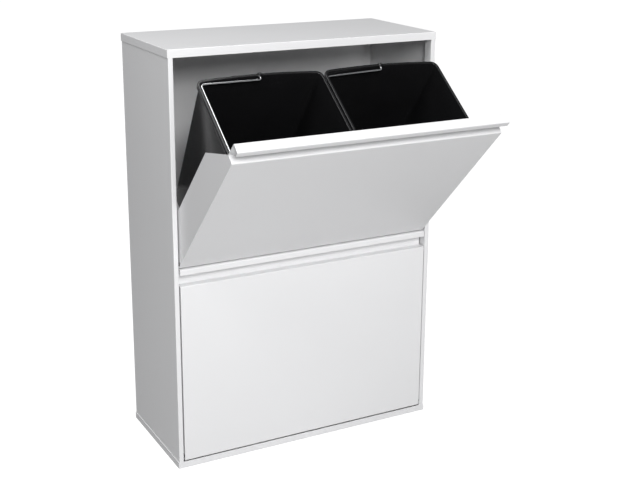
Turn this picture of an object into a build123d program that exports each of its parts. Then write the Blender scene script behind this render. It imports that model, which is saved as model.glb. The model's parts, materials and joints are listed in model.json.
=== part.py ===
# Two-door sheet-metal recycling bin station with four lift-out bins.
# Units are millimetres. +X runs to the right along the front, +Y runs back, +Z is up.
# The origin lies on the floor, under the middle of the cabinet.
import os
from math import cos, radians, sin

from build123d import *

# Cabinet
width = 600.0
depth = 266.0
height = 868.0
front_y = -depth / 2
rear_y = depth / 2
tray_sheet = 1.5
base_height = 14.0
cap_height = 16.0
side_sheet = 1.0
return_width = 10.0
fold_depth = 25.0
rear_return = 18.0
back_sheet = 1.0
rail_height = 18.0
rail_depth = 18.0
rail_top = 430.0
rail_front = -106.0
wall_hole_radius = 3.0
wall_hole_spacing = 400.0
wall_hole_height = 826.0
rivet_radius = 1.6
rivet_head_radius = 3.2
rivet_head_height = 1.2
rivets_per_side = 5

# Doors
door_gap = 2.0
door_height = 416.0
door_half_width = 286.0
door_sheet = 1.0
bend_radius = 1.6
handle_height = 35.0
handle_depth = 20.0
lip_drop = 12.0
bottom_return = 14.0
wing_depth = 80.0
wing_rear_top = 297.0
wing_knee = 90.0
foot_depth = 180.0
foot_height = 40.0
opening_angle = 44.5
hinge_back = 6.0
hinge_up = 10.0

# Hinge pins, bushes and stop studs
pin_radius = 2.5
pin_clearance = 0.06
pin_head_radius = 4.5
pin_head_height = 1.6
bush_radius = 3.6
bush_flange_radius = 5.0
bush_flange = 1.5
stud_radius = 4.0
stud_length = 8.0
stud_back = 70.0
stud_gap = 0.3

# Shelf inside each door
shelf_lean = 7.0
shelf_sheet = 1.0
shelf_lip = 14.0
shelf_end_flange = 12.0
shelf_length = 176.0

# Bins
bin_height = 320.0
bin_base_width = 225.0
bin_base_depth = 157.0
bin_top_width = 257.0
bin_top_depth = 189.0
bin_wall = 2.0
bin_floor = 2.5
bin_bow = 6.0
bin_base_bow = 3.0
bin_corner = 10.0
rim_width = 3.5
rim_height = 9.0
rim_sheet = 2.2
rim_bow = 6.0
ear_width = 16.0
ear_rise = 3.0
left_bin_x = -135.5
right_bin_x = 131.0
bin_front = 8.0
bin_lift = 24.0
bin_gap = 0.3

# Bails
wire_radius = 2.0
wire_clearance = 0.06
bail_drop = 3.5
bail_reach = 124.0
bail_half_depth = 90.0
bail_corner = 8.0
bail_hook_corner = 5.0
left_bail_droop = 0.0
right_bail_droop = 3.0

# Derived places
lower_door_z = base_height + door_gap
upper_door_z = lower_door_z + door_height + door_gap
cap_bottom = height - cap_height
side_outer = width / 2 - tray_sheet
side_inner = side_outer - side_sheet
fold_inner = side_outer - return_width
ledge_z = door_height - handle_height
bin_centre_y = bin_base_depth / 2
rim_top = bin_height
pivot_z = rim_top - bail_drop


def door_place(level):
    """Place of a door frame: its origin is the door's lower front edge."""
    closed = Location((0, front_y, level))
    if level == lower_door_z:
        return closed
    to_hinge = Location((0, front_y + hinge_back, level + hinge_up))
    turn = Location((0, 0, 0), (opening_angle, 0, 0))
    from_hinge = Location((0, -hinge_back, -hinge_up))
    return to_hinge * turn * from_hinge


def bin_place(centre_x):
    """Place of a bin frame inside a door frame: its origin is the bin's lower front edge."""
    return Location((centre_x, bin_front, bin_lift), (-shelf_lean, 0, 0))


def save(part, name):
    part.label = name
    export_step(part, f"parts/{name}.step")


# Cabinet


def build_tray(tray_height, wall_up):
    with BuildPart() as tray:
        with BuildSketch():
            Rectangle(width, depth)
        extrude(amount=tray_height)
        fillet(tray.edges().filter_by(Axis.Z).group_by(Axis.Y)[-1], radius=2.0)
        fillet(tray.faces().sort_by(Axis.Z)[0].edges(), radius=1.2)
        with BuildSketch(Plane.XY.offset(tray_sheet)):
            Rectangle(width - 2 * tray_sheet, depth - 2 * tray_sheet)
        extrude(amount=tray_height - tray_sheet, mode=Mode.SUBTRACT)
    if wall_up:
        return tray.part
    return Location((0, 0, height), (180, 0, 0)) * mirror(tray.part, about=Plane.XZ)


def build_side_panel(side):
    """One bent sheet: wall, front return, inner fold and its stop flange, rear return."""
    wall_x = side * (side_outer - side_sheet / 2)
    fold_x = side * (fold_inner + side_sheet / 2)
    front = front_y + side_sheet / 2
    fold_rear = front_y + fold_depth - side_sheet / 2
    rear = rear_y - tray_sheet - back_sheet - side_sheet / 2
    stop_x = side * (side_inner - 1.5)
    with BuildPart() as panel:
        with BuildSketch(Plane.XY.offset(tray_sheet)):
            with Locations((wall_x, (front_y + tray_sheet + rear + side_sheet / 2) / 2)):
                Rectangle(side_sheet, rear + side_sheet / 2 - front_y - tray_sheet)
            with Locations((side * (side_outer - rear_return / 2), rear)):
                Rectangle(rear_return, side_sheet)
        extrude(amount=height - 2 * tray_sheet)
        with BuildSketch(Plane.XY.offset(base_height)):
            with BuildLine():
                FilletPolyline(
                    (wall_x, front + 40),
                    (wall_x, front),
                    (fold_x, front),
                    (fold_x, fold_rear),
                    (stop_x, fold_rear),
                    radius=1.2,
                )
            trace(line_width=side_sheet)
        extrude(amount=cap_bottom - base_height)
        for level in (lower_door_z, upper_door_z):
            hinge = (0, front_y + hinge_back, level + hinge_up)
            with Locations(Plane(origin=hinge, z_dir=(side, 0, 0)).offset(fold_inner + 0.5)):
                Cylinder(pin_radius, 4, mode=Mode.SUBTRACT)
    return panel.part


def build_back_panel():
    with BuildPart() as back:
        with BuildSketch(Plane.XY.offset(tray_sheet)):
            with Locations((0, rear_y - tray_sheet - back_sheet / 2)):
                Rectangle(2 * side_inner, back_sheet)
        extrude(amount=height - 2 * tray_sheet)
        hole_centre = (0, rear_y - tray_sheet, wall_hole_height)
        with Locations(Plane(origin=hole_centre, x_dir=(-1, 0, 0), z_dir=(0, 1, 0))):
            with GridLocations(wall_hole_spacing, 1, 2, 1):
                Cylinder(wall_hole_radius, 6, mode=Mode.SUBTRACT)
    return back.part


def build_middle_rail():
    """Channel across the cabinet, open to the rear, under the upper door."""
    half = rail_height / 2 - side_sheet / 2
    front = rail_front + side_sheet / 2
    with BuildPart() as rail:
        with BuildSketch(Plane.YZ):
            with BuildLine():
                FilletPolyline(
                    (front + rail_depth, rail_top - rail_height / 2 - half),
                    (front, rail_top - rail_height / 2 - half),
                    (front, rail_top - rail_height / 2 + half),
                    (front + rail_depth, rail_top - rail_height / 2 + half),
                    radius=bend_radius,
                )
            trace(line_width=side_sheet)
        extrude(amount=side_inner, both=True)
    return rail.part


def build_back_rivets():
    spacing = (height - 2 * 60) / (rivets_per_side - 1)
    middle = (0, rear_y - tray_sheet, height / 2)
    plane = Plane(origin=middle, x_dir=(-1, 0, 0), z_dir=(0, 1, 0))
    with BuildPart() as rivets:
        with BuildSketch(plane):
            with GridLocations(2 * (side_outer - rear_return / 2), spacing, 2, rivets_per_side):
                Circle(rivet_head_radius)
        extrude(amount=rivet_head_height)
        fillet(rivets.faces().group_by(Axis.Y)[-1].edges(), radius=0.9)
        with BuildSketch(plane):
            with GridLocations(2 * (side_outer - rear_return / 2), spacing, 2, rivets_per_side):
                Circle(rivet_radius)
        extrude(amount=-(back_sheet + side_sheet + 0.8))
    return rivets.part


def build_hinge_pins(level):
    """A headed pin in each inner fold, reaching inwards through the door's wing."""
    inner_end = door_half_width - 3.5
    hinge = (0, front_y + hinge_back, level + hinge_up)
    with BuildPart() as pins:
        for side in (-1, 1):
            outward = Plane(origin=hinge, z_dir=(side, 0, 0))
            with BuildSketch(outward.offset(inner_end)):
                Circle(pin_radius)
            extrude(amount=fold_inner + side_sheet - inner_end)
            with BuildSketch(outward.offset(fold_inner + side_sheet)):
                Circle(pin_head_radius)
            extrude(amount=pin_head_height)
    return pins.part


# Door


def build_door_panel():
    """One bent sheet: front, folded finger groove along the top, and two side wings."""
    middle = door_sheet / 2
    with BuildPart() as door:
        with BuildSketch(Plane.YZ):
            with BuildLine():
                FilletPolyline(
                    (bottom_return, middle),
                    (middle, middle),
                    (middle, ledge_z - middle),
                    (handle_depth - middle, ledge_z - middle),
                    (handle_depth - middle, door_height - middle),
                    (middle, door_height - middle),
                    (middle, door_height - lip_drop),
                    radius=bend_radius,
                )
            trace(line_width=door_sheet)
        extrude(amount=door_half_width, both=True)
        for side in (-1, 1):
            inner_face = side * (door_half_width - door_sheet)
            with BuildSketch(Plane.YZ.offset(inner_face)):
                with BuildLine():
                    Polyline(
                        (middle, 0),
                        (middle, ledge_z - middle),
                        (handle_depth, ledge_z),
                        (wing_depth, wing_rear_top),
                        (wing_depth, wing_knee),
                        (foot_depth, foot_height),
                        (foot_depth, 0),
                        close=True,
                    )
                make_face()
            extrude(amount=side * door_sheet)
            with Locations(Plane.YZ.offset(inner_face) * Pos(hinge_back, hinge_up, 0)):
                Cylinder(bush_radius, 6, mode=Mode.SUBTRACT)
    return door.part


def build_shelf():
    """Leaning tray that carries two bins, with a lip behind and a flange at each end."""
    half = shelf_sheet / 2
    drop = bin_gap + half
    length = door_half_width - door_sheet
    with BuildPart() as shelf:
        with BuildSketch(Plane.YZ):
            with BuildLine():
                FilletPolyline(
                    (-4, -drop),
                    (shelf_length - 8, -drop),
                    (shelf_length - 8, shelf_lip),
                    radius=bend_radius,
                )
            trace(line_width=shelf_sheet)
        extrude(amount=length, both=True)
        for side in (-1, 1):
            with BuildSketch(Plane.YZ.offset(side * length)):
                with BuildLine():
                    Polyline(
                        (4, -drop),
                        (4, shelf_end_flange),
                        (shelf_length - 8, shelf_end_flange),
                        (shelf_length - 8, -drop),
                        close=True,
                    )
                make_face()
            extrude(amount=-side * shelf_sheet)
    return Location((0, bin_front, bin_lift), (-shelf_lean, 0, 0)) * shelf.part


def build_bushes():
    with BuildPart() as bushes:
        for side in (-1, 1):
            outward = Plane(origin=(0, hinge_back, hinge_up), z_dir=(side, 0, 0))
            with BuildSketch(outward.offset(door_half_width - 2.5)):
                Circle(bush_radius)
                Circle(pin_radius + pin_clearance, mode=Mode.SUBTRACT)
            extrude(amount=2.5)
            with BuildSketch(outward.offset(door_half_width)):
                Circle(bush_flange_radius)
                Circle(pin_radius + pin_clearance, mode=Mode.SUBTRACT)
            extrude(amount=bush_flange)
    return bushes.part


def build_stop_studs():
    """Studs on the wings that meet the rear of the inner folds when the door is fully open."""
    turn = radians(opening_angle)
    reach = stud_back - hinge_back
    meet = fold_depth - hinge_back + stud_radius + stud_gap
    rise = (reach * cos(turn) - meet) / sin(turn)
    with BuildPart() as studs:
        for side in (-1, 1):
            outward = Plane(origin=(0, stud_back, hinge_up + rise), z_dir=(side, 0, 0))
            with BuildSketch(outward.offset(door_half_width)):
                Circle(stud_radius)
            extrude(amount=stud_length)
            fillet(studs.faces().sort_by(Axis.X)[0 if side < 0 else -1].edges(), radius=1.0)
    return studs.part


# Bin and bail


def bowed_outline(outline_width, outline_depth, bow, corner):
    """Rounded rectangle whose front and rear sides curve outwards."""
    half_w = outline_width / 2
    half_d = outline_depth / 2
    with BuildSketch() as outline:
        with BuildLine():
            ThreePointArc((-half_w, half_d), (0, half_d + bow), (half_w, half_d))
            Line((half_w, half_d), (half_w, -half_d))
            ThreePointArc((half_w, -half_d), (0, -half_d - bow), (-half_w, -half_d))
            Line((-half_w, -half_d), (-half_w, half_d))
        make_face()
        fillet(outline.vertices(), radius=corner)
    return outline.sketch


def build_bin():
    rim_w = bin_top_width + 2 * rim_width
    rim_d = bin_top_depth + 2 * rim_width
    taper_w = (bin_top_width - bin_base_width) / bin_height
    taper_d = (bin_top_depth - bin_base_depth) / bin_height
    ear_y = bin_top_depth / 2 + bin_bow
    rim_outline = bowed_outline(rim_w, rim_d, rim_bow, bin_corner + rim_width)
    inset = 2 * rim_sheet
    under_rim = bowed_outline(rim_w - inset, rim_d - inset, rim_bow, bin_corner + rim_width - rim_sheet)
    base_outer = bowed_outline(bin_base_width, bin_base_depth, bin_base_bow, bin_corner)
    top_outer = bowed_outline(bin_top_width, bin_top_depth, bin_bow, bin_corner)
    base_inner = bowed_outline(
        bin_base_width - 2 * bin_wall + bin_floor * taper_w,
        bin_base_depth - 2 * bin_wall + bin_floor * taper_d,
        bin_base_bow,
        bin_corner - bin_wall,
    )
    top_inner = bowed_outline(
        bin_top_width - 2 * bin_wall, bin_top_depth - 2 * bin_wall, bin_bow, bin_corner - bin_wall
    )
    with BuildPart() as shell:
        with BuildSketch(Plane.XY.offset(rim_top - rim_height)):
            add(rim_outline)
        extrude(amount=rim_height)
        fillet(shell.faces().sort_by(Axis.Z)[-1].edges(), radius=1.6)
        with BuildSketch(Plane.XY.offset(rim_top - rim_height)):
            add(under_rim)
        extrude(amount=rim_height - rim_sheet, mode=Mode.SUBTRACT)
        for side in (-1, 1):
            ear_plane = Plane(origin=(0, side * (ear_y - bin_wall), 0), z_dir=(0, side, 0))
            with BuildSketch(ear_plane):
                with Locations(ear_plane.to_local_coords(Vector(0, side * (ear_y - bin_wall), pivot_z))):
                    Circle(ear_rise + bail_drop)
            extrude(amount=bin_wall + rim_width - 0.4)
        with BuildSketch():
            add(base_outer)
        with BuildSketch(Plane.XY.offset(rim_top)):
            add(top_outer)
        loft()
        with BuildSketch(Plane.XY.offset(bin_floor)):
            add(base_inner)
        with BuildSketch(Plane.XY.offset(rim_top)):
            add(top_inner)
        loft(mode=Mode.SUBTRACT)
        fillet(shell.faces().sort_by(Axis.Z)[0].edges(), radius=1.2)
        with BuildSketch(Plane.XZ.offset(-rim_d)):
            with Locations((0, pivot_z)):
                Circle(wire_radius + wire_clearance)
        extrude(amount=2 * rim_d, mode=Mode.SUBTRACT)
    return Location((0, bin_centre_y, 0)) * shell.part


def build_bail(droop):
    """Wire handle folded down to the left, its free side sunk by the droop in degrees."""
    end = bin_top_depth / 2 + bin_bow + rim_width + 0.4
    inner = bail_half_depth
    with BuildPart() as bail:
        with BuildLine(Plane.XY.offset(pivot_z)) as path:
            Polyline(
                (0, end),
                (0, inner),
                (-bail_reach, inner),
                (-bail_reach, -inner),
                (0, -inner),
                (0, -end),
            )
            hooks = path.vertices().filter_by(lambda v: abs(v.X) < 1 and abs(v.Y) < end - 1)
            fillet(hooks, radius=bail_hook_corner)
            corners = path.vertices().filter_by(lambda v: v.X < -bail_reach + 1 and abs(v.Y) > inner - 1)
            fillet(corners, radius=bail_corner)
        start = path.wires()[0] @ 0
        with BuildSketch(Plane(origin=start, z_dir=path.wires()[0] % 0)):
            Circle(wire_radius)
        sweep(path=path.wires()[0], transition=Transition.ROUND)
    sunk = Location((0, bin_centre_y, pivot_z), (0, -droop, 0)) * Location((0, 0, -pivot_z))
    return sunk * bail.part


# Assembly

os.makedirs("parts", exist_ok=True)

save(build_tray(base_height, True), "base_tray")
save(build_tray(cap_height, False), "top_cap")
save(build_side_panel(-1), "left_side_panel")
save(build_side_panel(1), "right_side_panel")
save(build_back_panel(), "back_panel")
save(build_middle_rail(), "middle_rail")
save(build_back_rivets(), "back_panel_rivets")

door_panel = build_door_panel()
door_shelf = build_shelf()
door_bushes = build_bushes()
door_studs = build_stop_studs()
bin_shell = build_bin()
left_bail = build_bail(left_bail_droop)
right_bail = build_bail(right_bail_droop)

for door_name, level in (("lower", lower_door_z), ("upper", upper_door_z)):
    place = door_place(level)
    save(build_hinge_pins(level), f"{door_name}_hinge_pins")
    save(place * door_panel, f"{door_name}_door_panel")
    save(place * door_shelf, f"{door_name}_door_shelf")
    save(place * door_bushes, f"{door_name}_door_bushes")
    save(place * door_studs, f"{door_name}_door_stop_studs")
    for side_name, centre_x, bail in (("left", left_bin_x, left_bail), ("right", right_bin_x, right_bail)):
        inside = place * bin_place(centre_x)
        save(inside * bin_shell, f"{door_name}_{side_name}_bin")
        save(inside * bail, f"{door_name}_{side_name}_bail")
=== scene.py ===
import json
import math

import bmesh
import bpy
from mathutils import Euler, Matrix, Vector


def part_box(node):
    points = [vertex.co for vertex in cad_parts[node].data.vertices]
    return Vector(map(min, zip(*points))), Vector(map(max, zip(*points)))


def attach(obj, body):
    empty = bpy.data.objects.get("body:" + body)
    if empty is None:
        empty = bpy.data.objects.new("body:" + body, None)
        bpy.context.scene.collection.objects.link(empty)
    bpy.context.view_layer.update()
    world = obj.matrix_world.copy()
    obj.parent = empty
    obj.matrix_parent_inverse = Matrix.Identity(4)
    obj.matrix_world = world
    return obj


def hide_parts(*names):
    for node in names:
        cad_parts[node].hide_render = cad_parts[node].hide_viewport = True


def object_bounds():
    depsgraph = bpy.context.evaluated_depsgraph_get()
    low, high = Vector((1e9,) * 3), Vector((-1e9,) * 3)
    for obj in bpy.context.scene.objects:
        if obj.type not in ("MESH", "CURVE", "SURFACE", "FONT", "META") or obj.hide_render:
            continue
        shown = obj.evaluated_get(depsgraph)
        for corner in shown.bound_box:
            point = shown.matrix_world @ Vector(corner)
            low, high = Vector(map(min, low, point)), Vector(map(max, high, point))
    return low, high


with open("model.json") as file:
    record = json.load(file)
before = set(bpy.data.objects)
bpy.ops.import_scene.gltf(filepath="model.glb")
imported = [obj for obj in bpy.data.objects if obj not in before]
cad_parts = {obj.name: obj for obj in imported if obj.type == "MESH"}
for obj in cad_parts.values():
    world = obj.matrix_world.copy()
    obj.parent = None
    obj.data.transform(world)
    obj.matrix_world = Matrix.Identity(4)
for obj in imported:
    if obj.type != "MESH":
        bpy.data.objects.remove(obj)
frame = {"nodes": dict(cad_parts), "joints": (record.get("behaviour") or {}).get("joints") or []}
cadLow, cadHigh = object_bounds()
nodes = frame["nodes"]
joints = {joint["name"]: joint for joint in frame["joints"]}
scene = bpy.context.scene

levels = ("upper", "lower")
sides = ("left", "right")

# finishes; sizes are in metres; each pair is the low and high end of a slow variation
powderCoat = {
    "colors": ((0.803, 0.803, 0.811), (0.827, 0.827, 0.834)), "colorSize": 0.22,
    "roughness": (0.295, 0.330), "roughnessSize": 0.060,
    "grain": "peel", "grainSize": 0.0014, "grainHeight": 0.0000035,
    "waveSize": 0.09, "waveHeight": 0.00010, "metallic": 0.0, "specular": 0.5, "coat": 0.0,
}
blackPlastic = {
    "colors": ((0.0065, 0.0066, 0.0072), (0.0105, 0.0105, 0.0112)), "colorSize": 0.05,
    "roughness": (0.15, 0.27), "roughnessSize": 0.020,
    "grain": "grain", "grainSize": 0.0007, "grainHeight": 0.000008,
    "waveSize": 0.060, "waveHeight": 0.00030, "metallic": 0.0, "specular": 0.5, "coat": 0.0,
}
brightWire = {
    "colors": ((0.70, 0.71, 0.73), (0.84, 0.85, 0.86)), "colorSize": 0.012,
    "roughness": (0.12, 0.24), "roughnessSize": 0.006,
    "grain": "grain", "grainSize": 0.0004, "grainHeight": 0.000006,
    "waveSize": 0.015, "waveHeight": 0.00002, "metallic": 1.0, "specular": 0.5, "coat": 0.0,
}
zincPlate = {
    "colors": ((0.44, 0.44, 0.45), (0.62, 0.62, 0.63)), "colorSize": 0.003,
    "roughness": (0.28, 0.46), "roughnessSize": 0.002,
    "grain": "crystals", "grainSize": 0.0009, "grainHeight": 0.000010,
    "waveSize": 0.004, "waveHeight": 0.00001, "metallic": 1.0, "specular": 0.5, "coat": 0.0,
}
rivetMetal = {
    "colors": ((0.60, 0.60, 0.61), (0.76, 0.76, 0.77)), "colorSize": 0.004,
    "roughness": (0.30, 0.42), "roughnessSize": 0.002,
    "grain": "grain", "grainSize": 0.0003, "grainHeight": 0.000008,
    "waveSize": 0.003, "waveHeight": 0.00001, "metallic": 1.0, "specular": 0.5, "coat": 0.0,
}
bushNylon = {
    "colors": ((0.040, 0.040, 0.042), (0.062, 0.062, 0.065)), "colorSize": 0.004,
    "roughness": (0.42, 0.58), "roughnessSize": 0.003,
    "grain": "grain", "grainSize": 0.0004, "grainHeight": 0.000015,
    "waveSize": 0.005, "waveHeight": 0.00001, "metallic": 0.0, "specular": 0.4, "coat": 0.0,
}
stopRubber = {
    "colors": ((0.016, 0.016, 0.016), (0.028, 0.027, 0.027)), "colorSize": 0.003,
    "roughness": (0.70, 0.88), "roughnessSize": 0.002,
    "grain": "grain", "grainSize": 0.0005, "grainHeight": 0.00003,
    "waveSize": 0.004, "waveHeight": 0.00002, "metallic": 0.0, "specular": 0.3, "coat": 0.0,
}


def addNode(tree, kind, links=None, **values):
    node = tree.nodes.new(kind)
    for key, value in values.items():
        setattr(node, key, value)
    for key, value in (links or {}).items():
        if isinstance(value, bpy.types.NodeSocket):
            tree.links.new(value, node.inputs[key])
        else:
            node.inputs[key].default_value = value
    return node


def makeFinish(name, look):
    material = bpy.data.materials.new(name)
    material.use_nodes = True
    tree = material.node_tree
    shader = tree.nodes["Principled BSDF"]
    place = addNode(tree, "ShaderNodeTexCoord").outputs["Object"]

    # slow drift of colour and gloss over the surface
    drift = addNode(
        tree, "ShaderNodeTexNoise", {"Vector": place, "Scale": 1 / look["colorSize"], "Detail": 3.0}
    )
    first, second = look["colors"]
    mix = addNode(tree, "ShaderNodeMix", data_type="RGBA")
    tree.links.new(drift.outputs["Fac"], mix.inputs["Factor"])
    mix.inputs[6].default_value = (*first, 1)
    mix.inputs[7].default_value = (*second, 1)
    tree.links.new(mix.outputs[2], shader.inputs["Base Color"])
    gloss = addNode(
        tree, "ShaderNodeTexNoise",
        {"Vector": place, "Scale": 1 / look["roughnessSize"], "Detail": 2.0, "Roughness": 0.5},
    )
    spread = addNode(
        tree, "ShaderNodeMapRange",
        {"Value": gloss.outputs["Fac"], "From Min": 0.2, "From Max": 0.8,
         "To Min": look["roughness"][0], "To Max": look["roughness"][1]},
    )
    tree.links.new(spread.outputs["Result"], shader.inputs["Roughness"])

    # fine relief: orange peel, moulded grain or plating crystals, over a slow waviness
    if look["grain"] == "grain":
        relief = addNode(
            tree, "ShaderNodeTexNoise", {"Vector": place, "Scale": 1 / look["grainSize"], "Detail": 2.0}
        ).outputs["Fac"]
    elif look["grain"] == "crystals":
        relief = addNode(
            tree, "ShaderNodeTexVoronoi", {"Vector": place, "Scale": 1 / look["grainSize"]}
        ).outputs["Distance"]
    else:
        relief = addNode(
            tree, "ShaderNodeTexNoise", {"Vector": place, "Scale": 1 / look["grainSize"], "Detail": 0.0}
        ).outputs["Fac"]
    wave = addNode(
        tree, "ShaderNodeTexNoise", {"Vector": place, "Scale": 1 / look["waveSize"], "Detail": 0.0}
    )
    slow = addNode(
        tree, "ShaderNodeBump",
        {"Height": wave.outputs["Fac"], "Distance": look["waveHeight"], "Strength": 1.0},
    )
    fine = addNode(
        tree, "ShaderNodeBump",
        {"Height": relief, "Distance": look["grainHeight"], "Strength": 1.0,
         "Normal": slow.outputs["Normal"]},
    )
    tree.links.new(fine.outputs["Normal"], shader.inputs["Normal"])

    shader.inputs["Metallic"].default_value = look["metallic"]
    shader.inputs["Specular IOR Level"].default_value = look["specular"]
    shader.inputs["Coat Weight"].default_value = look["coat"]
    material.diffuse_color = (*second, 1)
    return material


finishes = {
    "white_steel": makeFinish("whitePowderCoat", powderCoat),
    "black_plastic": makeFinish("glossBlackPlastic", blackPlastic),
    "bright_wire": makeFinish("brightWire", brightWire),
    "steel_pin": makeFinish("zincPlatedSteel", zincPlate),
    "rivet_alloy": makeFinish("rivetAlloy", rivetMetal),
    "bush_plastic": makeFinish("bushNylon", bushNylon),
    "stop_rubber": makeFinish("stopRubber", stopRubber),
}
for node in nodes.values():
    for holder in node.material_slots:
        if holder.material and holder.material.name.split(".")[0] in finishes:
            holder.material = finishes[holder.material.name.split(".")[0]]
print("finishes made:", len(finishes))


# shared helpers
def addPiece(name, mesh, slot, body, stands=()):
    piece = bpy.data.objects.new(name, mesh)
    scene.collection.objects.link(piece)
    if not mesh.materials:
        mesh.materials.append(finishes[slot])
    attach(piece, body)
    if stands:
        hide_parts(*stands)
    return piece


def bakeObject(worker):
    bpy.context.view_layer.update()
    graph = bpy.context.evaluated_depsgraph_get()
    mesh = bpy.data.meshes.new_from_object(worker.evaluated_get(graph), depsgraph=graph)
    base = worker.data
    bpy.data.objects.remove(worker)
    bpy.data.meshes.remove(base)
    return mesh


def newWorker(mesh):
    worker = bpy.data.objects.new("worker", mesh)
    scene.collection.objects.link(worker)
    return worker


def meshFrom(name, points, faces=(), edges=()):
    mesh = bpy.data.meshes.new(name)
    mesh.from_pydata(points, edges, faces)
    return mesh


def nodeTree(name, inputs):
    tree = bpy.data.node_groups.new(name, "GeometryNodeTree")
    tree.interface.new_socket("Geometry", in_out="INPUT", socket_type="NodeSocketGeometry")
    tree.interface.new_socket("Geometry", in_out="OUTPUT", socket_type="NodeSocketGeometry")
    for label, kind in inputs.items():
        tree.interface.new_socket(label, in_out="INPUT", socket_type="NodeSocket" + kind)
    return tree, tree.nodes.new("NodeGroupInput").outputs, tree.nodes.new("NodeGroupOutput").inputs


def runTree(tree, mesh, values):
    worker = newWorker(mesh)
    modifier = worker.modifiers.new("nodes", "NODES")
    modifier.node_group = tree
    for item in tree.interface.items_tree:
        if item.in_out == "INPUT" and item.name in values:
            modifier[item.identifier] = values[item.name]
    return bakeObject(worker)


# cabinet and door sheets
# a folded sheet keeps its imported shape; its cut edges get the small round that powder coat leaves
sheetEdges = {
    "round": 0.00028, "steps": 2, "sharpAngle": 50.0, "smoothAngle": 48.0,
    "mergeGap": 0.00002, "flatAngle": 0.6, "flatWeight": 100,
}
sheetPieces = {
    "base_tray": ("baseTray", "cabinet"),
    "top_cap": ("topCap", "cabinet"),
    "left_side_panel": ("leftSidePanel", "cabinet"),
    "right_side_panel": ("rightSidePanel", "cabinet"),
    "back_panel": ("backPanel", "cabinet"),
    "middle_rail": ("middleRail", "cabinet"),
    "upper_door_panel": ("upperDoorPanel", "upper_door"),
    "upper_door_shelf": ("upperDoorShelf", "upper_door"),
    "lower_door_panel": ("lowerDoorPanel", "lower_door"),
    "lower_door_shelf": ("lowerDoorShelf", "lower_door"),
}


def roundedSheet(nodeName):
    mesh = bpy.data.meshes.new(nodeName + "Coated")
    work = bmesh.new()
    work.from_mesh(nodes[nodeName].data)
    bmesh.ops.remove_doubles(work, verts=work.verts, dist=sheetEdges["mergeGap"])
    bmesh.ops.dissolve_limit(
        work, angle_limit=math.radians(sheetEdges["flatAngle"]), use_dissolve_boundaries=False,
        verts=work.verts, edges=work.edges,
    )
    for face in work.faces:
        face.smooth = True
        face.material_index = 0
    work.to_mesh(mesh)
    work.free()
    worker = newWorker(mesh)
    bevel = worker.modifiers.new("edges", "BEVEL")
    bevel.width = sheetEdges["round"]
    bevel.segments = sheetEdges["steps"]
    bevel.limit_method = "ANGLE"
    bevel.angle_limit = math.radians(sheetEdges["sharpAngle"])
    bevel.use_clamp_overlap = True
    bevel.miter_outer = "MITER_ARC"
    rounded = bakeObject(worker)
    rounded.set_sharp_from_angle(angle=math.radians(sheetEdges["smoothAngle"]))
    # the flats keep level normals, so only the rounds and bends shade as curved
    worker = newWorker(rounded)
    level = worker.modifiers.new("level", "WEIGHTED_NORMAL")
    level.mode = "FACE_AREA"
    level.weight = sheetEdges["flatWeight"]
    level.keep_sharp = True
    baked = bakeObject(worker)
    baked.materials.clear()
    baked.materials.append(finishes["white_steel"])
    return baked


for nodeName, (pieceName, body) in sheetPieces.items():
    addPiece(pieceName, roundedSheet(nodeName), "white_steel", body, [nodeName])
print("sheet pieces made:", len(sheetPieces))


# bins
shellSize = {
    "height": 0.320, "pivotHeight": 0.3165,
    "baseWidth": 0.225, "baseDepth": 0.157, "topWidth": 0.257, "topDepth": 0.189,
    "baseBow": 0.003, "topBow": 0.006, "corner": 0.010,
    "wall": 0.0020, "floor": 0.0025, "footRound": 0.0030, "floorRound": 0.0070,
    "rimReach": 0.0035, "rimHeight": 0.0090, "rimSheet": 0.0022, "rimRound": 0.0016,
    "cornerSteps": 9, "sideSteps": 14, "straightSteps": 8,
    "earRadius": 0.0065, "earRound": 0.0008, "holeRadius": 0.00206, "sharpAngle": 34.0,
}


def ringPoints(inset, z):
    share = z / shellSize["height"]
    growWidth = (shellSize["topWidth"] - shellSize["baseWidth"]) * share
    growDepth = (shellSize["topDepth"] - shellSize["baseDepth"]) * share
    halfWidth = (shellSize["baseWidth"] + growWidth) / 2 + inset
    halfDepth = (shellSize["baseDepth"] + growDepth) / 2 + inset
    bow = shellSize["baseBow"] + (shellSize["topBow"] - shellSize["baseBow"]) * share
    corner = max(shellSize["corner"] + inset, 0.004)
    points = []
    for turn in range(4):
        signX = (1, -1, -1, 1)[turn]
        signY = (1, 1, -1, -1)[turn]
        for step in range(shellSize["cornerSteps"] + 1):
            angle = math.radians(90 * turn + 90 * step / shellSize["cornerSteps"])
            x = signX * (halfWidth - corner) + corner * math.cos(angle)
            y = signY * (halfDepth - corner) + corner * math.sin(angle)
            points.append([x, y, abs(math.sin(angle))])
        fromX, fromY = points[-1][0], points[-1][1]
        steps = shellSize["sideSteps"] if turn % 2 == 0 else shellSize["straightSteps"]
        toX = -fromX if turn % 2 == 0 else fromX
        toY = fromY if turn % 2 == 0 else -fromY
        for step in range(1, steps):
            share = step / steps
            onBow = 1.0 if turn % 2 == 0 else 0.0
            points.append([fromX + (toX - fromX) * share, fromY + (toY - fromY) * share, onBow])
    ring = []
    for x, y, onBow in points:
        swell = bow * (1 - (x / halfWidth) ** 2) * onBow
        ring.append(Vector((x, y + math.copysign(swell, y), z)))
    return ring


def arcProfile(centreInset, centreZ, radius, fromAngle, toAngle, steps=4):
    profile = []
    for step in range(steps + 1):
        angle = math.radians(fromAngle + (toAngle - fromAngle) * step / steps)
        profile.append((centreInset + radius * math.cos(angle), centreZ + radius * math.sin(angle)))
    return profile


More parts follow.
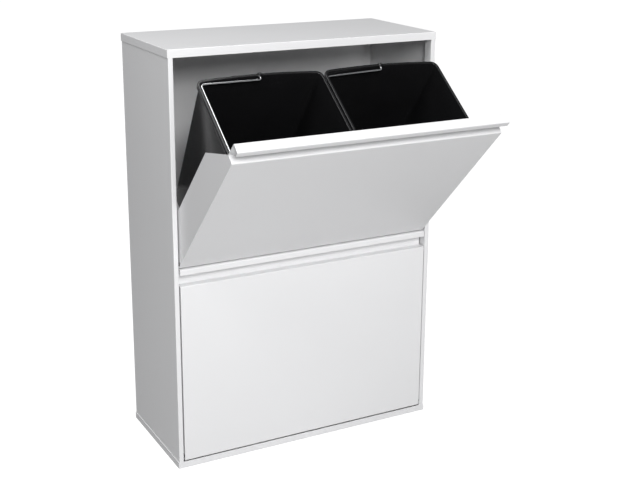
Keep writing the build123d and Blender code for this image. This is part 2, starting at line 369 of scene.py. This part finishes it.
def binProfile():
    top = shellSize["height"]
    wall = shellSize["wall"]
    reach = shellSize["rimReach"]
    sheet = shellSize["rimSheet"]
    skirtLow = top - shellSize["rimHeight"]
    skirtIn = reach - sheet
    foot = shellSize["footRound"]
    inner = shellSize["floorRound"]
    edge = 0.0005
    # the underside is hollowed a little inside the foot, so the bin stands on its edge
    profile = [(-0.016, 0.0012), (-0.0135, 0.0012), (-0.0125, 0.0002), (-0.0118, 0.0)]
    profile += [(-foot - 0.001, 0.0)]
    profile += arcProfile(-foot, foot, foot, -90, 0)
    profile += [(0.0, top * share / 8) for share in range(1, 8)]
    profile += [(0.0, top - sheet - 0.0008)]
    profile += arcProfile(0.0005, top - sheet - 0.0005, 0.0005, 180, 90, 3)
    profile += [(skirtIn - 0.0003, top - sheet), (skirtIn, top - sheet - 0.0004)]
    profile += [(skirtIn, skirtLow + edge)]
    profile += arcProfile(skirtIn + edge, skirtLow + edge, edge, 180, 270, 2)
    profile += arcProfile(reach - edge, skirtLow + edge, edge, -90, 0, 2)
    lip = shellSize["rimRound"]
    profile += arcProfile(reach - lip, top - lip, lip, 0, 90, 5)
    profile += arcProfile(-wall + 0.0009, top - 0.0009, 0.0009, 90, 180, 4)
    profile += [(-wall, top * share / 8) for share in range(7, 0, -1)]
    profile += arcProfile(-wall - inner, shellSize["floor"] + inner, inner, 0, -90, 6)
    profile += [(-0.020, shellSize["floor"] + 0.00015)]
    return profile


def binShell():
    rings = [ringPoints(inset, z) for inset, z in binProfile()]
    count = len(rings[0])
    points = [point for ring in rings for point in ring]
    faces = []
    for level in range(len(rings) - 1):
        for step in range(count):
            after = (step + 1) % count
            low, high = level * count, (level + 1) * count
            faces.append((low + step, low + after, high + after, high + step))
    faces.append(tuple(range(count))[::-1])
    faces.append(tuple(range(len(points) - count, len(points))))
    return meshFrom("binShell", points, faces)


def spunMesh(profile, steps=40):
    points = []
    faces = []
    for radius, along in profile:
        for step in range(steps):
            angle = 2 * math.pi * step / steps
            points.append((radius * math.cos(angle), radius * math.sin(angle), along))
    for level in range(len(profile) - 1):
        for step in range(steps):
            after = (step + 1) % steps
            low, high = level * steps, (level + 1) * steps
            faces.append((low + step, low + after, high + after, high + step))
    faces.append(tuple(range(steps))[::-1])
    faces.append(tuple(range(len(points) - steps, len(points))))
    return meshFrom("spun", points, faces)


def finishedBin():
    shell = newWorker(binShell())
    wallY = shellSize["topDepth"] / 2 + shellSize["topBow"]
    helpers = []

    def cutter(mesh, y, turn):
        lift = Matrix.Translation((0, y, shellSize["pivotHeight"]))
        mesh.transform(lift @ Matrix.Rotation(math.radians(turn), 4, "X"))
        tool = newWorker(mesh)
        helpers.append(tool)
        return tool

    length = shellSize["wall"] + shellSize["rimReach"] - 0.0004
    soft = shellSize["earRound"]
    radius = shellSize["earRadius"]
    for sign in (-1, 1):
        ear = spunMesh([
            (radius - soft, 0), (radius, soft), (radius, length - soft),
            (radius - 0.3 * soft, length - 0.3 * soft), (radius - soft, length),
        ])
        tool = cutter(ear, sign * (wallY - shellSize["wall"] + 0.0002), -90 * sign)
        join = shell.modifiers.new("ear", "BOOLEAN")
        join.operation = "UNION"
        join.object = tool
        join.solver = "EXACT"
    hole = cutter(spunMesh([(shellSize["holeRadius"], -0.3), (shellSize["holeRadius"], 0.3)], 24), 0, 90)
    drill = shell.modifiers.new("hole", "BOOLEAN")
    drill.operation = "DIFFERENCE"
    drill.object = hole
    drill.solver = "EXACT"
    mesh = bakeObject(shell)
    for tool in helpers:
        base = tool.data
        bpy.data.objects.remove(tool)
        bpy.data.meshes.remove(base)
    for face in mesh.polygons:
        face.use_smooth = True
    mesh.materials.clear()
    mesh.materials.append(finishes["black_plastic"])
    mesh.set_sharp_from_angle(angle=math.radians(shellSize["sharpAngle"]))
    return mesh


def binPlace(level, side):
    pivot = joints[f"{level}_{side}_bail_pivot"]
    up = Vector(joints[f"{level}_{side}_bin_lift"]["axis"])
    back = Vector(pivot["axis"])
    right = back.cross(up)
    turn = Matrix((right, back, up)).transposed().to_4x4()
    return Matrix.Translation(Vector(pivot["pos_m"]) - up * shellSize["pivotHeight"]) @ turn


# stiffening ribs under the rim, one tree run for each bin
rimRibs = {"count": 36, "thickness": 0.0012, "depth": 0.0015, "drop": 0.0052, "inset": 0.0006}


def rimRibTree():
    tree, given, result = nodeTree(
        "rimRibs",
        {"Count": "Int", "Thickness": "Float", "Depth": "Float", "Drop": "Float", "Finish": "Material"},
    )
    curve = addNode(tree, "GeometryNodeMeshToCurve", {"Mesh": given["Geometry"]})
    even = addNode(
        tree, "GeometryNodeCurveToPoints", {"Curve": curve.outputs["Curve"], "Count": given["Count"]}
    )
    size = addNode(
        tree, "ShaderNodeCombineXYZ", {"X": given["Drop"], "Y": given["Depth"], "Z": given["Thickness"]}
    )
    block = addNode(tree, "GeometryNodeMeshCube", {"Size": size.outputs["Vector"]})
    spread = addNode(
        tree, "GeometryNodeInstanceOnPoints",
        {"Points": even.outputs["Points"], "Instance": block.outputs["Mesh"],
         "Rotation": even.outputs["Rotation"]},
    )
    real = addNode(tree, "GeometryNodeRealizeInstances", {"Geometry": spread.outputs["Instances"]})
    paint = addNode(
        tree, "GeometryNodeSetMaterial", {"Geometry": real.outputs["Geometry"], "Material": given["Finish"]}
    )
    tree.links.new(paint.outputs["Geometry"], result["Geometry"])
    return tree


ribTree = rimRibTree()


def ribMesh():
    z = shellSize["height"] - shellSize["rimSheet"] - rimRibs["drop"] / 2 + 0.0004
    ring = ringPoints(rimRibs["inset"], z)
    path = meshFrom("ribPath", ring, edges=[(i, (i + 1) % len(ring)) for i in range(len(ring))])
    return runTree(
        ribTree, path,
        {"Count": rimRibs["count"], "Thickness": rimRibs["thickness"], "Depth": rimRibs["depth"],
         "Drop": rimRibs["drop"], "Finish": finishes["black_plastic"]},
    )


binMesh = finishedBin()
for level in levels:
    for side in sides:
        body = f"{level}_{side}_bin"
        place = binPlace(level, side)
        shell = binMesh.copy()
        shell.transform(place)
        title = level + side.capitalize()
        addPiece(title + "Bin", shell, "black_plastic", body, [body])
        ribs = ribMesh()
        ribs.transform(place)
        addPiece(title + "BinRibs", ribs, "black_plastic", body)
print("bins made, faces in one:", len(binMesh.polygons))


# bails
bailSize = {
    "wireRadius": 0.0020, "reach": 0.1240, "halfDepth": 0.0900, "endDepth": 0.1044,
    "corner": 0.008, "hookCorner": 0.005, "sidesRound": 18, "cornerSteps": 10, "sharpAngle": 50.0,
    "droop": {"left": 0.0, "right": 3.0},
}


def wireTree():
    tree, given, result = nodeTree(
        "sweptWire", {"Radius": "Float", "Sides": "Int", "Steps": "Int", "Finish": "Material"}
    )
    curve = addNode(tree, "GeometryNodeMeshToCurve", {"Mesh": given["Geometry"]})
    bendRadius = addNode(tree, "GeometryNodeInputNamedAttribute", {"Name": "bend"}, data_type="FLOAT")
    bent = addNode(
        tree, "GeometryNodeFilletCurve",
        {"Curve": curve.outputs["Curve"], "Radius": bendRadius.outputs["Attribute"], "Limit Radius": True,
         "Count": given["Steps"]},
        mode="POLY",
    )
    ring = addNode(
        tree, "GeometryNodeCurvePrimitiveCircle",
        {"Resolution": given["Sides"], "Radius": given["Radius"]},
    )
    swept = addNode(
        tree, "GeometryNodeCurveToMesh",
        {"Curve": bent.outputs["Curve"], "Profile Curve": ring.outputs["Curve"], "Fill Caps": True},
    )
    real = addNode(tree, "GeometryNodeRealizeInstances", {"Geometry": swept.outputs["Mesh"]})
    paint = addNode(
        tree, "GeometryNodeSetMaterial", {"Geometry": real.outputs["Geometry"], "Material": given["Finish"]}
    )
    tree.links.new(paint.outputs["Geometry"], result["Geometry"])
    return tree


bailTree = wireTree()


def bailMesh():
    end = bailSize["endDepth"]
    inner = bailSize["halfDepth"]
    reach = bailSize["reach"]
    height = shellSize["pivotHeight"]
    path = [(0, end), (0, inner), (-reach, inner), (-reach, -inner), (0, -inner), (0, -end)]
    bends = [0, bailSize["hookCorner"], bailSize["corner"], bailSize["corner"], bailSize["hookCorner"], 0]
    links = [(i, i + 1) for i in range(len(path) - 1)]
    mesh = meshFrom("bailPath", [(x, y, height) for x, y in path], edges=links)
    attribute = mesh.attributes.new("bend", "FLOAT", "POINT")
    attribute.data.foreach_set("value", bends)
    wire = runTree(
        bailTree, mesh,
        {"Radius": bailSize["wireRadius"], "Sides": bailSize["sidesRound"],
         "Steps": bailSize["cornerSteps"], "Finish": finishes["bright_wire"]},
    )
    for face in wire.polygons:
        face.use_smooth = True
    wire.set_sharp_from_angle(angle=math.radians(bailSize["sharpAngle"]))
    return wire


for level in levels:
    for side in sides:
        body = f"{level}_{side}_bail"
        wire = bailMesh()
        pivot = Matrix.Translation((0, 0, shellSize["pivotHeight"]))
        sink = Matrix.Rotation(math.radians(-bailSize["droop"][side]), 4, "Y")
        wire.transform(binPlace(level, side) @ pivot @ sink @ pivot.inverted())
        addPiece(level + side.capitalize() + "Bail", wire, "bright_wire", body, [body])
print("bails made")


# back panel rivets
rivet = {
    "perSide": 5, "headRadius": 0.0032, "headHeight": 0.0012, "shankRadius": 0.0016,
    "holeRadius": 0.0008, "shankLength": 0.0026, "sidesRound": 28, "sharpAngle": 40.0,
}


def rivetTree():
    tree, given, result = nodeTree(
        "rivetRows",
        {"Rivet": "Object", "Per side": "Int", "Width": "Float", "Height": "Float", "Finish": "Material"},
    )
    grid = addNode(
        tree, "GeometryNodeMeshGrid",
        {"Size X": given["Width"], "Size Y": given["Height"], "Vertices X": 2,
         "Vertices Y": given["Per side"]},
    )
    source = addNode(tree, "GeometryNodeObjectInfo", {"Object": given["Rivet"]})
    spread = addNode(
        tree, "GeometryNodeInstanceOnPoints",
        {"Points": grid.outputs["Mesh"], "Instance": source.outputs["Geometry"]},
    )
    real = addNode(tree, "GeometryNodeRealizeInstances", {"Geometry": spread.outputs["Instances"]})
    paint = addNode(
        tree, "GeometryNodeSetMaterial", {"Geometry": real.outputs["Geometry"], "Material": given["Finish"]}
    )
    tree.links.new(paint.outputs["Geometry"], result["Geometry"])
    return tree


def rivetMesh():
    head = rivet["headRadius"]
    tall = rivet["headHeight"]
    hole = rivet["holeRadius"]
    profile = [(rivet["shankRadius"], -rivet["shankLength"]), (rivet["shankRadius"], 0.0), (head, 0.0)]
    profile += [(head, 0.25 * tall), (head * 0.92, 0.55 * tall)]
    profile += [(head * 0.75, 0.82 * tall), (head * 0.5, tall)]
    profile += [(hole * 1.2, tall), (hole, tall * 0.85), (hole, -0.0002)]
    mesh = spunMesh(profile, rivet["sidesRound"])
    for face in mesh.polygons:
        face.use_smooth = True
    return mesh


low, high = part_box("back_panel_rivets")
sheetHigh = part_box("back_panel")[1]
rivetSource = newWorker(rivetMesh())
rows = runTree(
    rivetTree(), meshFrom("rivetStart", [(0, 0, 0)]),
    {"Rivet": rivetSource, "Per side": rivet["perSide"],
     "Width": (high.x - low.x) - 2 * rivet["headRadius"],
     "Height": (high.z - low.z) - 2 * rivet["headRadius"],
     "Finish": finishes["rivet_alloy"]},
)
source = rivetSource.data
bpy.data.objects.remove(rivetSource)
bpy.data.meshes.remove(source)
middle = Matrix.Translation(((low.x + high.x) / 2, sheetHigh.y, (low.z + high.z) / 2))
rows.transform(middle @ Matrix.Rotation(math.radians(-90), 4, "X"))
rows.set_sharp_from_angle(angle=math.radians(rivet["sharpAngle"]))
addPiece("backPanelRivets", rows, "rivet_alloy", "cabinet", ["back_panel_rivets"])
print("rivets made:", 2 * rivet["perSide"])

# floor, light and camera
studio = {
    "floorSize": 30.0, "floorColor": (0.47, 0.47, 0.47), "paleColor": (0.9, 0.9, 0.9),
    "floorGlow": 0.84, "glowStrength": 1.22,
    "backdrop": 1.05, "fill": 0.18, "fillColor": (0.97, 0.98, 1.0),
}
floorMesh = meshFrom("floor", [(-1, -1, 0), (1, -1, 0), (1, 1, 0), (-1, 1, 0)], [(0, 1, 2, 3)])
floorMesh.transform(Matrix.Diagonal((studio["floorSize"] / 2, studio["floorSize"] / 2, 1, 1)))
floorMesh.transform(Matrix.Translation((0, 0, cadLow.z)))
floor = bpy.data.objects.new("floor", floorMesh)
scene.collection.objects.link(floor)

floorPaint = bpy.data.materials.new("paleFloor")
floorPaint.use_nodes = True
tree = floorPaint.node_tree
tree.nodes.clear()
matt = addNode(tree, "ShaderNodeBsdfDiffuse", {"Color": (*studio["floorColor"], 1)})
pale = addNode(tree, "ShaderNodeBsdfDiffuse", {"Color": (*studio["paleColor"], 1)})
glow = addNode(tree, "ShaderNodeEmission", {"Color": (1, 1, 1, 1), "Strength": studio["glowStrength"]})
seen = addNode(
    tree, "ShaderNodeMixShader", {0: studio["floorGlow"], 1: pale.outputs[0], 2: glow.outputs[0]}
)
path = addNode(tree, "ShaderNodeLightPath")
both = addNode(
    tree, "ShaderNodeMixShader",
    {0: path.outputs["Is Camera Ray"], 1: matt.outputs[0], 2: seen.outputs[0]},
)
addNode(tree, "ShaderNodeOutputMaterial", {"Surface": both.outputs[0]})
floorMesh.materials.append(floorPaint)

world = bpy.data.worlds.new("studio")
scene.world = world
world.use_nodes = True
tree = world.node_tree
tree.nodes.clear()
backdrop = addNode(tree, "ShaderNodeBackground", {"Color": (1, 1, 1, 1), "Strength": studio["backdrop"]})
fill = addNode(
    tree, "ShaderNodeBackground", {"Color": (*studio["fillColor"], 1), "Strength": studio["fill"]}
)
path = addNode(tree, "ShaderNodeLightPath")
both = addNode(
    tree, "ShaderNodeMixShader",
    {0: path.outputs["Is Camera Ray"], 1: fill.outputs[0], 2: backdrop.outputs[0]},
)
addNode(tree, "ShaderNodeOutputWorld", {"Surface": both.outputs[0]})

# each lamp: place, point it aims at, size, watts, colour
lamps = {
    "key": ((-0.8, -3.4, 2.3), (0.0, -0.1, 0.45), (1.4, 1.4), 104.0, (1.0, 1.0, 1.0)),
    "low": ((0.3, -3.5, 0.9), (0.0, -0.1, 0.60), (1.0, 1.0), 13.0, (1.0, 1.0, 1.0)),
    "side": ((-1.5, -0.5, 2.1), (-0.3, 0.0, 0.85), (0.7, 0.7), 13.0, (1.0, 1.0, 1.0)),
    "top": ((0.0, -0.3, 3.2), (0.0, 0.0, 0.5), (1.6, 1.6), 24.0, (1.0, 1.0, 1.0)),
}
for title, (place, aim, size, watts, color) in lamps.items():
    lamp = bpy.data.lights.new(title, "AREA")
    lamp.shape = "RECTANGLE"
    lamp.size, lamp.size_y = size
    lamp.energy = watts
    lamp.color = color
    holder = bpy.data.objects.new(title, lamp)
    holder.location = place
    holder.rotation_euler = (Vector(aim) - Vector(place)).to_track_quat("-Z", "Y").to_euler()
    holder.visible_camera = False
    scene.collection.objects.link(holder)

view = {
    "place": (-1.0582, -2.1405, 1.1816), "turn": (74.208, -0.344, -28.013),
    "lens": 65.55, "sensor": 36.0, "shiftY": -0.0794,
}
lens = bpy.data.cameras.new("camera")
lens.lens = view["lens"]
lens.sensor_width = view["sensor"]
lens.shift_y = view["shiftY"]
camera = bpy.data.objects.new("camera", lens)
camera.location = view["place"]
camera.rotation_euler = Euler([math.radians(angle) for angle in view["turn"]], "XYZ")
scene.collection.objects.link(camera)
scene.camera = camera
scene.view_settings.view_transform = "Standard"
print("studio set")
